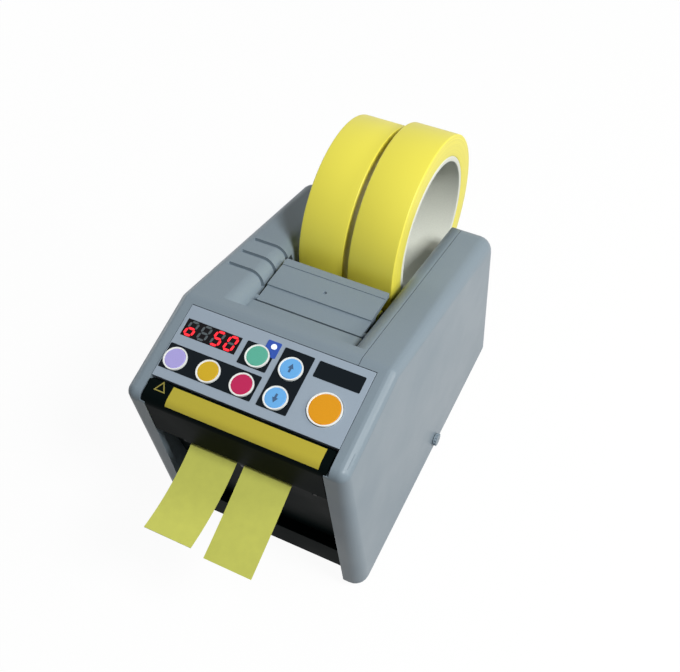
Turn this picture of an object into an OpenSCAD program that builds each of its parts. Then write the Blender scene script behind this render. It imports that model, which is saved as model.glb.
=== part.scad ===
// Electric tape dispenser for two tapes side by side, in millimetres.
// X is to the right seen from the outlet, Y to the back, Z up, and the feet stand on z = 0.
// A sloping deck carries the tapes from the rolls through feed rollers and a guillotine to the outlet.

/* [Body] */
// Width over the side walls
body_w = 116; // [112:1:122]
// Depth from the nose to the rear
body_d = 184; // [181:1:190]
// Height of the nose edge
nose_h = 133.5; // [131:0.5:137]
// Overhang of the nose past the front foot
nose_over = 5.5; // [4:0.5:7]
// Length of the sloping panel face
panel_len = 57; // [56:0.5:60]
// Slope of the panel face
panel_a = 9.8; // [9:0.2:10.6]
// Fall of the top towards the rear
top_a = 17; // [16:0.2:17.6]
// Rounding of the rear top corner, seen from the side
rear_r = 12; // [10:1:16]
// Rounding of the outer edges at that corner
rear_edge_r = 8; // [6:0.5:8.5]
// Rounding of the outer edges
edge_r = 5.5; // [4:0.5:6]
// Rounding of the side walls' front foot
foot_r = 8; // [6:0.5:9]
// Wall of the mouldings
wall = 3; // [2.4:0.2:3.6]
// Width of the right cover's top edge, from its side to the seam
rail_w = 18.5; // [17:0.5:19]
// Width of the turned-in front edge of each side wall
front_w = 11.5; // [10:0.5:12.5]
// Width of the bar between the panel and the ridge
bar_w = 4.2; // [3.6:0.2:5]
// Width of the wall's top beside the panel
edge_w = 9.2; // [8.4:0.2:10]
// Gap at the seams between mouldings
seam = 0.3; // [0.2:0.05:0.5]
// Gap between the side walls and the table
skirt = 0.6; // [0.4:0.1:1.2]
// Height of the rubber feet
feet_h = 2; // [1.6:0.2:3]
// Radius of a rubber foot
feet_r = 6; // [5:0.5:8]
// Thickness of the base plate
base_t = 2.5; // [2:0.1:3]

/* [Well] */
// Width of the well between the rails
well_w = 62; // [61:0.5:63]
// Rounding of the rails' inner shoulders
shoulder_r = 8.2; // [6:0.2:8.4]
// Distance from the panel seam to the recess
recess_y = 6; // [5:0.5:8]
// Depth of the recess walls below the flap
recess_h = 5.5; // [5:0.25:6]
// Depth of the sill in front of the guide flap
sill_h = 8; // [7.5:0.5:9]
// Length of that sill
sill_len = 16; // [14:0.5:17]
// Width of one louvre slot
louvre_w = 2.6; // [2:0.2:3.6]
// Depth of a louvre slot
louvre_h = 1.8; // [1:0.2:2.2]
// Spacing of the louvre slots
louvre_pitch = 13; // [10:0.5:14]

/* [Guide flap] */
// Width of the flap
flap_w = 58; // [54:1:59]
// Thickness of the flap
flap_t = 2.8; // [2.4:0.2:3]
// Length of the flap
flap_len = 32; // [29:1:33]
// Rise of the flap against the falling top
flap_a = 10; // [9:0.5:11]
// Radius of the flap's hinge pins
flap_pin_r = 1.8; // [1.4:0.1:2]
// Radius of the hold-down roller
hold_r = 3; // [2.5:0.25:3.25]
// Place of the hold-down roller along the deck
hold_t = 87; // [85:0.5:88]

/* [Tape] */
// Width of one tape
tape_w = 25.4; // [19:0.1:25.6]
// Gap between the two tapes
tape_gap = 4; // [3.4:0.1:4.4]
// Thickness of the tape, drawn thicker than the real film
tape_t = 0.4; // [0.3:0.05:0.6]
// Outer radius of the left roll
left_roll_r = 50.8; // [45:0.2:52]
// Outer radius of the right roll
right_roll_r = 52.8; // [45:0.2:54]
// Outer radius of the core
core_r = 41; // [38:0.5:43]
// Wall of the core
core_wall = 2.8; // [2:0.2:4]
// Distance from the rear to the rolls' axis
roll_back = 17.8; // [17:0.2:20]
// Length of the strips past the outlet
strip_len = 46; // [30:1:54]
// Droop of the left strip's end below the deck line
left_droop = 0.5; // [0:0.5:6]
// Droop of the right strip's end below the deck line
right_droop = 10.5; // [0:0.5:13]

/* [Support rollers] */
// Radius of the support rollers
support_r = 5.5; // [5:0.25:6]
// Half the distance between the support rollers' axes
support_half = 12; // [11:0.5:14]
// Height of the support rollers' axes
support_z = 55.2; // [53:0.2:58]
// Radius of the collars that keep the rolls apart
collar_r = 7; // [6.5:0.25:8]
// Radius of the rollers' end journals
journal_r = 2.8; // [2.4:0.1:3.2]

/* [Feed] */
// Height of the tape at the outlet
outlet_h = 103.5; // [102:0.5:105]
// Distance of the outlet behind the nose
outlet_in = 3; // [2:0.5:4]
// Slope of the feed deck
deck_a = 8; // [7.4:0.1:8.6]
// Thickness of the deck
deck_t = 2.6; // [2:0.2:3]
// Length of the deck from the outlet to its rear end
deck_len = 91.5; // [90:0.5:92]
// Place of the feed roller along the deck
feed_t = 33; // [32:0.5:34]
// Radius of the feed roller
feed_r = 9; // [8:0.5:9.5]
// Radius of the feed shaft
shaft_r = 3; // [2.5:0.1:4]
// Radius of the pinch roller
pinch_r = 6.5; // [5.5:0.5:6.5]
// Radius of the pinch roller's journals
pinch_journal_r = 2.5; // [2:0.1:3]
// Place of the entry roller along the deck
entry_t = 97; // [96.5:0.5:98]
// Radius of the entry roller
entry_r = 4.5; // [4:0.25:5]
// Gear module
gear_m = 1; // [0.9:0.05:1.05]
// Teeth of the feed gear
gear_teeth = 36; // [34:1:38]
// Teeth of the motor pinion
pinion_teeth = 16; // [15:1:18]
// Width of the gears
gear_w = 6; // [4:0.5:8]
// Radius of the feed motor
feed_motor_r = 14; // [12:0.5:14.5]
// Length of the feed motor
feed_motor_len = 19; // [16:1:20]

/* [Cutter] */
// Stroke of the moving blade
stroke = 7; // [6:0.5:7.5]
// Thickness of the blades
blade_t = 0.8; // [0.6:0.1:1]
// Place of the moving blade's front face along the deck
blade_at = 11; // [10.5:0.1:11.5]
// Depth of the cutter yoke along the deck
yoke_d = 4.8; // [4:0.2:5]
// Distance of the crank pin's slot below the deck at rest
slot_low = 34; // [33:0.5:36]
// Radius of the crank pin
crank_pin_r = 2; // [1.5:0.1:2.2]
// Radius of the crank disc
crank_disc_r = 7; // [6.5:0.5:9]
// Radius of the cutter motor
cutter_motor_r = 11; // [9:0.5:11.5]
// Length of the cutter motor
cutter_motor_len = 24; // [18:1:26]

/* [Frame plates] */
// Thickness of the frame plates
plate_t = 2; // [1.6:0.2:2.4]
// Gap between the inner walls and the frame plates
plate_gap = 1; // [0.6:0.1:1.2]

/* [Control panel] */
// Thickness of the panel plate
panel_t = 3; // [2.4:0.2:3.2]
// Length of the black safety cover's top flange
flange_len = 12.1; // [11.6:0.1:12.4]
// Radius of the small keys
key_r = 5.9; // [5:0.1:6.1]
// Radius of the start key
start_r = 8.3; // [7:0.1:9]
// Height of the keys above the panel
key_h = 0.8; // [0.6:0.1:1.2]
// Travel of the keys
key_travel = 0.8; // [0.4:0.1:0.9]
// Clearance round the keys
key_clear = 0.25; // [0.15:0.05:0.4]
// Spacing of the lower row's keys
key_pitch = 17.9; // [17.2:0.1:18.4]
// Distance of the lower row from the nose
key_row = 23.8; // [23:0.1:24.6]
// Distance between the two rows of keys
key_rise = 15.6; // [15:0.1:16]
// Width of the display window
display_w = 29.7; // [26:0.1:30]
// Height of the display window
display_h = 9.3; // [8:0.1:9.8]
// Depth of the control board below the panel face
board_low = 11; // [10.6:0.1:11.6]

/* [Safety cover] */
// Thickness of the cover
cover_t = 2.5; // [2:0.1:2.8]
// Height of the cover's lower edge
cover_low = 106.5; // [105.5:0.5:108]
// Radius of the cover's hinge pins
cover_pin_r = 1.5; // [1.2:0.1:1.8]

/* [Front and rear] */
// Set-back of the lower front cover behind the front foot
lower_back = 8.5; // [7.5:0.5:9]
// Height of its ledge
ledge_z = 19.5; // [17:0.5:22]
// Thickness of the lower front cover
lower_t = 2.4; // [2:0.1:2.6]
// Height of the rear panel
rear_h = 31; // [29:0.5:33]
// Thickness of the rear panel
rear_t = 2.5; // [2:0.1:3]
// Width of the power switch
switch_w = 13; // [12:0.5:15]
// Height of the power switch
switch_h = 19; // [18:0.5:21]
// Radius of the power jack's socket
jack_r = 3.2; // [2.8:0.1:3.5]
// Radius of the thumbscrew's head
thumb_r = 3.7; // [3.2:0.1:4.2]
// Length of the thumbscrew's head
thumb_len = 2; // [1.6:0.2:2.4]
// Height of the thumbscrew's axis
thumb_z = 13.5; // [12:0.5:15]

/* [Fits] */
// Radial clearance of running fits
run = 0.05; // [0.03:0.01:0.08]
// Gap between pieces that slide or turn past each other
slip = 0.3; // [0.25:0.05:0.4]

/* [Hidden] */
$fn = 64;
soft_fn = 24;
arc_steps = 12;
eps = 0.01;
far = 400;

half_w = body_w / 2;
base_top = feet_h + base_t;
mid_y = 3.6;
nose = [mid_y - body_d / 2, nose_h];
foot = [nose.x + nose_over, skirt];
ridge = nose + panel_len * [cos(panel_a), sin(panel_a)];
rear_y = mid_y + body_d / 2;
rear_top = [rear_y, ridge.y - (rear_y - ridge.x) * tan(top_a)];
rear_foot = [rear_y, skirt];
front_lean = atan(nose_over / (nose_h - skirt));
seam_x = half_w - rail_w;
front_x = half_w - front_w;
panel_x = half_w - edge_w;
well_x = well_w / 2;
inner_x = well_x + wall;
plate_x = inner_x + plate_gap;
plate_out = plate_x + plate_t;
pocket_x = half_w - wall;
shoulder_x = well_x + shoulder_r;
shoulder_h = 7;
panel_s = [flange_len + 0.7, panel_len - bar_w - seam];
cut_depth = panel_t + 0.2;
board_room = 20;

outlet_y = nose.x + outlet_in;
sheet = 0.1;
nip = 0.15;
deck_x = plate_x - sheet;
strip_x = tape_gap / 2 + tape_w;
roller_x = well_x - 3;
leg_x = [roller_x + 1, plate_x - slip];
yoke_t = [blade_at + blade_t, blade_at + blade_t + yoke_d];
lip_t = [2, blade_at - 0.4];
crank_r = stroke / 2;
crank_n = -slot_low - crank_r;
slot_half = crank_pin_r + 0.22 * crank_r + slip;
crank_t = [yoke_t[1] + 0.6, yoke_t[1] + 2.8];
motor_plate_t = [crank_t[1] + 0.4, crank_t[1] + 2.4];
feed_n = -nip - feed_r;
pinch_n = tape_t + nip + pinch_r;
entry_n = -nip - entry_r;
hold_n = tape_t + nip + hold_r;
mesh_a = -40;
pinion_at = [feed_t, feed_n] + gear_m * (gear_teeth + pinion_teeth) / 2 * [cos(mesh_a), sin(mesh_a)];
gear_x = plate_out + 2;

roll_y = rear_y - roll_back;
hinge_s = flange_len - 2.2;
hinge_n = -2.3;
knuckle_r = 2.2;
// Turns the knuckle's seam line into the flange, where it meets no edge
seam_turn = 225;
flap_y = recess_y + sill_len + 1;
flap_step = 1;
flap_top = flap_step - sill_h;
flap_hinge = [2.5, -flap_pin_r - flap_step - 0.1];

thumb_y = nose.x + 102;
lug_x = half_w - wall - 3;
jack_x = 18;
switch_x = -18;
switch_z = 18;
rear_in = rear_y - wall - rear_t;

// Keys as [x, distance from the nose, radius]
red_x = -6.3;
key_lilac_at = [red_x - 2 * key_pitch, key_row, key_r];
key_yellow_at = [red_x - key_pitch, key_row, key_r];
key_crimson_at = [red_x, key_row, key_r];
key_green_at = [red_x, key_row + key_rise, key_r];
key_down_at = [11.4, key_row, key_r];
key_up_at = [11.4, key_row + key_rise, key_r];
key_start_at = [34.8, key_row + 3.4, start_r];
keys = [key_lilac_at, key_yellow_at, key_crimson_at, key_green_at, key_down_at, key_up_at,
        key_start_at];
display_at = [-32, key_row + key_rise + 1.3];
lens_at = [-1.1, key_row + key_rise + 7.3];
lens_r = 1.4;
board_x = panel_x - 3;
board_s = [panel_s[0] + 5, panel_s[1] - 3.5];
board_t = 1.6;
boss_at = [[red_x - 1.5 * key_pitch, board_s[0] + 2.5], [21.6, board_s[0] + 2.5],
           [-14.4, board_s[1] - 1.9], [board_x - 4, board_s[1] - 2.5]];
boss_r = 2.4;
screw_r = 1.1;

// Helpers

function unit(v) = v / norm(v);
// Centre of a circle of radius d that touches both sides of the corner a, b, c from inside
function inset_corner(a, b, c, d) =
    let (u = unit(a - b), v = unit(c - b)) b + unit(u + v) * d / sqrt((1 - u * v) / 2);
function arc(c, r, a0, a1) = [for (i = [0:arc_steps])
    let (a = a0 + (a1 - a0) * i / arc_steps) c + r * [cos(a), sin(a)]];
rear_c = inset_corner(ridge, rear_top, rear_foot, rear_r);
nose_c = inset_corner(foot, nose, ridge, edge_r);
// Point of the sloping deck's frame in the side view
function deck_pt(t, n) =
    [outlet_y, outlet_h] + t * [cos(deck_a), sin(deck_a)] + n * [-sin(deck_a), cos(deck_a)];
// Point of the falling top's frame in the side view
function top_pt(t, n) = ridge + t * [cos(top_a), -sin(top_a)] + n * [sin(top_a), cos(top_a)];
plate_y = deck_pt(entry_t, entry_n).x + 6;
walls_y = plate_y + 10;
// Side view of the case, drawn in by d and open at the bottom
function inner_profile(d) = concat(
    [inset_corner(rear_foot, foot, nose, d) - [0, skirt + d + 1], inset_corner(foot, nose, ridge, d),
     inset_corner(nose, ridge, rear_top, d)],
    arc(rear_c, rear_r - d, 90 - top_a, 0),
    [[rear_y - d, -1]]);

module block(a, b) { translate(a) cube(b - a); }
// Side view outline, extruded from x0 to x1
module across(x0, x1) { translate([x0, 0, 0]) rotate([90, 0, 90]) linear_extrude(x1 - x0) children(); }
module rod(r, x0, x1) { translate([x0, 0, 0]) rotate([0, 90, 0]) cylinder(r = r, h = x1 - x0); }
module both() { children(); mirror([1, 0, 0]) children(); }
module at_panel() { translate([0, nose.x, nose.y]) rotate([panel_a, 0, 0]) children(); }
module at_top() { translate([0, ridge.x, ridge.y]) rotate([-top_a, 0, 0]) children(); }
module at_flap() { at_top() translate([0, flap_y, flap_top]) rotate([flap_a, 0, 0]) children(); }
module at_deck() { translate([0, outlet_y, outlet_h]) rotate([deck_a, 0, 0]) children(); }
module ring(r, bore, x0, x1) { difference() { rod(r, x0, x1); rod(bore, x0 - 1, x1 + 1); } }

// Full outer form of the case, with its edges rounded
module case_form() {
    front = inset_corner(rear_foot, foot, nose, foot_r);
    hull() for (side = [-1, 1]) {
        x = side * (half_w - edge_r);
        translate([side * (half_w - foot_r), front.x, front.y]) sphere(foot_r, $fn = soft_fn);
        for (p = [nose_c, inset_corner(nose, ridge, rear_top, edge_r),
                  inset_corner(rear_top, rear_foot, foot, edge_r)])
            translate([x, p.x, p.y]) sphere(edge_r, $fn = soft_fn);
        translate([side * (half_w - rear_edge_r), rear_c.x, rear_c.y]) rotate([0, 90, 0])
            rotate_extrude($fn = 2 * soft_fn) intersection() {
                translate([rear_r - rear_edge_r, 0]) circle(rear_edge_r, $fn = soft_fn);
                translate([0, -rear_edge_r]) square([rear_r, 2 * rear_edge_r]);
            }
    }
}

// Boss for the safety cover's hinge pin, beside the nose on the right
module hinge_boss() {
    at_panel() block([panel_x + seam, hinge_s - 4, hinge_n - 4], [pocket_x + 1, hinge_s + 4, -1]);
}
module hinge_bore() {
    at_panel() translate([0, hinge_s, hinge_n]) rod(cover_pin_r + run, panel_x, panel_x + 4);
}
// Room that the panel, the safety cover and the open front take out of the case
module front_cuts(x0, x1) {
    at_panel() block([max(x0, -panel_x - seam), -20, -cut_depth],
                     [min(x1, panel_x + seam), panel_len - bar_w, 20]);
    block([max(x0, -front_x), -far, -1], [min(x1, front_x), outlet_y + 20, nose_h + 10]);
}

// Housing and covers

module main_housing() color("#8b98a8") difference() {
    union() {
        difference() {
            intersection() { case_form(); block([-far, -far, -far], [seam_x - seam / 2, far, far]); }
            across(-pocket_x, -shoulder_x) polygon(inner_profile(wall));
            for (x = [[-shoulder_x - 1, -inner_x], [inner_x, seam_x + 1]]) intersection() {
                across(x[0], x[1]) polygon(inner_profile(wall));
                at_top() block([-far, -far, -far], [far, far, -shoulder_h]);
            }
            intersection() {
                across(-inner_x - 1, inner_x + 1) polygon(inner_profile(wall));
                union() {
                    at_flap() block([-far, -far, -far], [far, far, -recess_h]);
                    at_top() block([-far, -far, -far], [far, recess_y + sill_len - wall, -sill_h - wall]);
                }
                block([-far, -far, -far], [far, walls_y, far]);
            }
            at_panel() block([-inner_x - 0.5, flange_len + 3, -board_room],
                             [inner_x + 0.5, panel_len - bar_w - 1, -1]);
            front_cuts(-far, seam_x + 1);
            at_top() {
                block([-well_x, recess_y, -sill_h], [well_x, far, 20]);
                block([-well_x, recess_y + sill_len, -far], [well_x, far, 20]);
                both() difference() {
                    block([well_x - 1, recess_y, -shoulder_r], [shoulder_x, far, 20]);
                    translate([shoulder_x, 0, -shoulder_r]) rotate([-90, 0, 0]) cylinder(r = shoulder_r, h = far);
                }
            }
            block([-pocket_x + 0.1, foot.x + wall, -1], [pocket_x, rear_y - wall, base_top + 0.2]);
        }
        mirror([1, 0, 0]) hinge_boss();
    }
    louvres();
    mirror([1, 0, 0]) hinge_bore();
    for (y = [-1, 1] * support_half) both()
        translate([0, roll_y + y, support_z]) rod(journal_r + run, well_x - 1, inner_x + 1);
    at_flap() both() translate([0, flap_hinge.x, flap_hinge.y]) rod(flap_pin_r + run, well_x - 1, inner_x + 1);
}

// Three slots that run over the left rail's inner shoulder
module louvres() at_top() for (i = [0:2]) difference() {
    block([-half_w + edge_r + 1, flap_y + 9 + i * louvre_pitch, -shoulder_r],
          [-well_x + 1, flap_y + 9 + i * louvre_pitch + louvre_w, 20]);
    translate([-shoulder_x, 0, -shoulder_r]) rotate([-90, 0, 0]) cylinder(r = shoulder_r - louvre_h, h = far);
    block([-far, -1, -far], [-shoulder_x, far, -louvre_h]);
}

module right_side_cover() color("#8b98a8") difference() {
    union() {
        difference() {
            intersection() { case_form(); block([seam_x + seam / 2, -far, -far], [far, far, far]); }
            across(seam_x - 1, pocket_x) polygon(inner_profile(wall));
            front_cuts(seam_x - 1, far);
            block([seam_x - 1, foot.x + wall, -1], [pocket_x, rear_y - wall, base_top + 0.2]);
        }
        hinge_boss();
    }
    hinge_bore();
    translate([0, thumb_y, thumb_z]) rod(2.4, lug_x, half_w + 1);
}

module base_plate() color("#1d1e20") difference() {
    union() {
        block([-pocket_x + slip, foot.x + lower_back + lower_t + seam, feet_h],
              [pocket_x - slip, rear_y - wall - slip, base_top]);
        block([lug_x, thumb_y - 8, feet_h], [pocket_x - slip, thumb_y + 8, thumb_z + 6]);
    }
    translate([0, thumb_y, thumb_z]) rod(2 + run, lug_x - 1, half_w);
    for (p = screw_places) translate([p.x, p.y, 0]) cylinder(r = 1.6 + run, h = 20);
}

module rubber_feet() color("#222222") for (x = [-1, 1], y = [foot.x + 24, rear_y - 18])
    translate([x * (half_w - 16), y, 0]) cylinder(r = feet_r, h = feet_h);

module lower_front_cover() color("#17181a") {
    front = foot.x + lower_back;
    t0 = lip_t[1] - lower_t - 2.5;
    n_at = function (t, z) (z - outlet_h - t * sin(deck_a)) / cos(deck_a);
    across(-front_x + seam, front_x - seam) polygon([
        [front, skirt], [front, ledge_z], deck_pt(t0, n_at(t0, ledge_z)), deck_pt(t0, -13.2),
        deck_pt(t0 + lower_t, -13.2), deck_pt(t0 + lower_t, n_at(t0 + lower_t, ledge_z - lower_t)),
        [front + lower_t, ledge_z - lower_t], [front + lower_t, skirt]]);
}

module rear_panel() color("#2a2d31") difference() {
    block([-well_x + seam, rear_in, base_top], [well_x - seam, rear_in + rear_t, rear_h]);
    block([switch_x - switch_w / 2, 0, switch_z - switch_h / 2],
          [switch_x + switch_w / 2, far, switch_z + switch_h / 2]);
    translate([jack_x, 0, switch_z]) rotate([-90, 0, 0]) cylinder(r = jack_r + 1.8, h = far);
}

// Frame plates stand on the base, and their front ears carry the outlet lip
flange_w = 10;
screw_places = [for (x = [-1, 1] * (plate_x - flange_w / 2), y = [foot.x + 34, plate_y - 14]) [x, y]];
module frame_plate() {
    difference() {
        union() {
            across(plate_x, plate_out) polygon([
                deck_pt(2.5, 2), deck_pt(2.5, -13), deck_pt(lip_t[1] - 2.2, -13), deck_pt(lip_t[1] - 2.2, -72),
                [foot.x + 22, base_top + 10], [foot.x + 22, base_top], [plate_y, base_top],
                [plate_y, top_pt(52, -9).y], top_pt(44, -9), top_pt(2, -18), deck_pt(lip_t[1] + 4, 14),
                deck_pt(lip_t[1] - 2.2, 14), deck_pt(lip_t[1] - 2.2, 2)]);
            block([plate_x - flange_w, foot.x + 26, base_top], [plate_x + eps, plate_y, base_top + plate_t]);
            at_deck() block([leg_x[1] - 1.7, lip_t[1] - 1.3, -30], [plate_x + eps, yoke_t[0] - slip, -13]);
            at_deck() block([leg_x[1] - 1.7, yoke_t[1] + slip, -30], [plate_x + eps, yoke_t[1] + 2.4, -deck_t - 1]);
        }
        at_deck() {
            translate([0, feed_t, feed_n]) rod(shaft_r + 3, 0, far);
            translate([0, feed_t, pinch_n]) rod(pinch_journal_r + run, 0, far);
            translate([0, entry_t, entry_n]) rod(pinch_journal_r + run, 0, far);
            translate([0, pinion_at.x, pinion_at.y]) rod(5, 0, far);
        }
        for (p = screw_places) if (p.x > 0) translate([p.x, p.y, 0]) cylinder(r = 1.6 + run, h = 20);
    }
}
module left_frame_plate() color("#b9bec4") mirror([1, 0, 0]) frame_plate();
module right_frame_plate() color("#b9bec4") frame_plate();

module chassis_screws() color("#c8ccd0") for (p = screw_places) translate([p.x, p.y, 0]) {
    translate([0, 0, feet_h - 1.4]) cylinder(r = 3, h = 1.4);
    translate([0, 0, feet_h - eps]) cylinder(r = 1.6, h = base_t + plate_t + 2);
}

// Control panel and its electronics

module control_panel() color("#97a3b0") at_panel() difference() {
    union() {
        block([-panel_x, panel_s[0], -panel_t], [panel_x, panel_s[1], 0]);
        for (p = boss_at) translate([p.x, p.y, -board_low]) cylinder(r = boss_r, h = board_low - 1);
    }
    for (k = keys) translate([k.x, k.y, -far / 2]) cylinder(r = k.z + key_clear, h = far);
    block([display_at.x - display_w / 2, display_at.y - display_h / 2, -far],
          [display_at.x + display_w / 2, display_at.y + display_h / 2, far]);
    translate([lens_at.x, lens_at.y, -far / 2]) cylinder(r = lens_r, h = far);
    for (p = boss_at) translate([p.x, p.y, -board_low - 1]) cylinder(r = screw_r + run, h = 7);
}

module control_board() color("#2f6b3a") at_panel() difference() {
    block([-board_x, board_s[0], -board_low - board_t], [board_x, board_s[1], -board_low]);
    for (p = boss_at) translate([p.x, p.y, -far / 2]) cylinder(r = screw_r + run, h = far);
}

// Height of a switch leaves the pressed key just clear of it
stem_low = panel_t + 4.2;
module tact_switches() color("#26282b") at_panel() for (k = keys)
    translate([k.x, k.y, 0]) block([-3, -3, -board_low], [3, 3, -stem_low - key_travel - slip]);

module board_screws() color("#c8ccd0") at_panel() for (p = boss_at) translate([p.x, p.y, 0]) {
    translate([0, 0, -board_low - board_t - 1.4]) cylinder(r = 2.4, h = 1.4);
    translate([0, 0, -board_low - board_t - eps]) cylinder(r = screw_r, h = board_t + 5);
}

module display_window() color("#1b0f12") at_panel()
    block([display_at.x - display_w / 2 + sheet, display_at.y - display_h / 2 + sheet, -1.6],
          [display_at.x + display_w / 2 - sheet, display_at.y + display_h / 2 - sheet, -0.1]);

module display_module() color("#302f33") at_panel()
    block([display_at.x - display_w / 2 + 0.5, display_at.y - display_h / 2 + 0.5, -board_low],
          [display_at.x + display_w / 2 - 0.5, display_at.y + display_h / 2 - 0.5, -1.6]);

module status_lens() color("#1f4fb0") at_panel() translate([lens_at.x, lens_at.y, -board_low])
    cylinder(r = lens_r - run, h = board_low + 0.4);

// Key cap with a collar under the panel and a stem down to its switch
module key(at, tint) color(tint) at_panel() translate([at.x, at.y, 0]) {
    difference() {
        translate([0, 0, -panel_t - 1.2]) cylinder(r = at.z, h = panel_t + 1.2 + key_h);
        translate([0, 0, key_h]) rotate_extrude() translate([at.z - 0.9, 0]) circle(0.25, $fn = 16);
    }
    translate([0, 0, -panel_t - 1.2]) cylinder(r = at.z + 0.7, h = 1);
    translate([0, 0, -stem_low]) cylinder(r = 1.8, h = stem_low - panel_t);
}
module key_start() key(key_start_at, "#f39a1c");
module key_up() key(key_up_at, "#5aa9e8");
module key_down() key(key_down_at, "#5aa9e8");
module key_lilac() key(key_lilac_at, "#b6a6e0");
module key_yellow() key(key_yellow_at, "#e0b42a");
module key_crimson() key(key_crimson_at, "#c81f52");
module key_green() key(key_green_at, "#58b79a");

module safety_cover() color("#141517") difference() {
    union() {
        across(-panel_x + 0.7, panel_x - 0.7) polygon(concat(
            [nose + hinge_s * unit(ridge - nose)],
            arc(nose_c, edge_r, 90 + panel_a, 180 + front_lean),
            [for (d = [0, cover_t]) nose + (nose.y - cover_low) * [tan(front_lean), -1] + [d, 0]],
            arc(nose_c, edge_r - cover_t, 180 + front_lean, 90 + panel_a),
            [nose + hinge_s * unit(ridge - nose) + cover_t * [sin(panel_a), -cos(panel_a)]]));
        at_panel() translate([0, hinge_s, hinge_n]) {
            rotate([seam_turn, 0, 0]) rod(knuckle_r, 1 - panel_x, panel_x - 1);
            rod(cover_pin_r, -panel_x - 2.5, panel_x + 2.5);
        }
    }
    at_panel() both() block([front_x - 0.5, -far / 2, -far],
                            [panel_x + eps, hinge_s - knuckle_r - 0.5, -cover_t - 0.2]);
}

// Switch that the closed safety cover presses with its inner face
module cover_switch() color("#26282b") at_deck() {
    block([plate_out, lip_t[0] + 3.5, 3], [plate_out + 6, lip_t[0] + 13, 11]);
    block([plate_out + 2, lip_t[0] + 1.6, 5], [plate_out + 4, lip_t[0] + 4, 9]);
}

// Guide flap with the hold-down roller

module guide_flap() color("#8b98a8") at_flap() difference() {
    union() {
        block([-flap_w / 2, 0, -flap_t], [flap_w / 2, 11, -flap_step]);
        block([-flap_w / 2, 11 - eps, -flap_t], [flap_w / 2, flap_len, 0]);
        translate([0, flap_hinge.x, flap_hinge.y]) rod(flap_pin_r, -inner_x + 0.5, inner_x - 0.5);
        both() hold_arm();
    }
    block([-far, flap_len - 5.4, -0.5], [far, flap_len - 4.6, far]);
    translate([0, 18, -1.5]) cylinder(r = 1, h = 5);
    hold_place() rod(hold_pin_r + run, -far, far);
}
// Hold-down roller's axis, given on the deck and turned into the flap's frame
hold_pin_r = 1.5;
arm_r = 2.4;
arm_w = 3;
fall_a = top_a - flap_a;
hold_g = deck_pt(hold_t, hold_n) - top_pt(flap_y, flap_top);
hold_l = [hold_g.x * cos(fall_a) - hold_g.y * sin(fall_a), hold_g.x * sin(fall_a) + hold_g.y * cos(fall_a)];
module hold_place() { translate([0, hold_l.x, hold_l.y]) children(); }
module hold_arm() {
    x = [flap_w / 2 - arm_w, flap_w / 2];
    hold_place() rod(arm_r, x[0], x[1]);
    block([x[0], hold_l.x - arm_r, hold_l.y], [x[1], hold_l.x + arm_r, -flap_t + eps]);
}
module hold_down_roller() color("#3a3d42") at_flap() hold_place() {
    rod(hold_r, -flap_w / 2 + arm_w + slip, flap_w / 2 - arm_w - slip);
    rod(hold_pin_r, -flap_w / 2 + 0.5, flap_w / 2 - 0.5);
}

// Feed

module feed_deck() color("#aab0b7") at_deck() difference() {
    union() {
        block([-deck_x, yoke_t[0] + blade_t + 0.25, -deck_t - sheet], [deck_x, deck_len, -sheet]);
        block([-roller_x, yoke_t[0] + blade_t + 0.25, -10], [roller_x, yoke_t[0] + blade_t + 2.4, -sheet]);
    }
    both() block([roller_x + 0.6, 0, -far], [far, yoke_t[1] + 0.7, far]);
    block([-roller_x - slip, feed_t - feed_r, -far], [roller_x + slip, feed_t + feed_r, far]);
}

module outlet_lip() color("#17181a") at_deck() {
    block([-plate_x, lip_t[0] + 2, -12], [plate_x, lip_t[1], -sheet]);
    block([-plate_x, lip_t[0], -12], [plate_x, lip_t[0] + 2 + eps, -2 - sheet]);
    translate([0, lip_t[0] + 2, -2 - sheet]) rod(2, -plate_x, plate_x);
}

module tape_sensor() color("#26282b") at_deck() block([-6, lip_t[0] + 1, -18], [6, lip_t[1] - 5.6, -12]);

module fixed_blade() color("#d5d9dd") at_deck()
    block([-roller_x, yoke_t[0] + 0.15, -10], [roller_x, yoke_t[0] + 0.15 + blade_t, -sheet]);

yoke_low = stroke + tape_t + 0.8;
blade_screw_x = [-1, 0, 1] * 24;
// Places of the blade's screws, along the deck
module at_blade_screws() {
    for (x = blade_screw_x) translate([x, 0, yoke_low + 3]) rotate([-90, 0, 0]) children();
}
module cutter_yoke() color("#9aa1a8") at_deck() difference() {
    union() {
        block([-leg_x[1], yoke_t[0], yoke_low], [leg_x[1], yoke_t[1], yoke_low + 6]);
        both() block([leg_x[0], yoke_t[0], -slot_low - 6], [leg_x[1], yoke_t[1], yoke_low + eps]);
        block([-leg_x[1], yoke_t[0], -slot_low - 6], [leg_x[1], yoke_t[1], -slot_low + 6]);
    }
    slot_x = crank_r + slip + 0.5;
    block([-slot_x, 0, -slot_low - slot_half], [slot_x, far, -slot_low + slot_half]);
    for (x = [-1, 1] * slot_x) translate([x, 0, -slot_low]) rotate([-90, 0, 0]) cylinder(r = slot_half, h = far);
    at_blade_screws() cylinder(r = screw_r + run, h = far);
}

module moving_blade() color("#d5d9dd") at_deck() difference() {
    block([-leg_x[0] + 0.5, blade_at, tape_t + 3], [leg_x[0] - 0.5, yoke_t[0], yoke_low + 6]);
    at_blade_screws() cylinder(r = screw_r + run, h = far);
}

module blade_screws() color("#c8ccd0") at_deck() at_blade_screws() {
    translate([0, 0, blade_at - 1.4]) cylinder(r = 2.4, h = 1.4);
    translate([0, 0, blade_at - eps]) cylinder(r = screw_r, h = 4);
}

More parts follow.
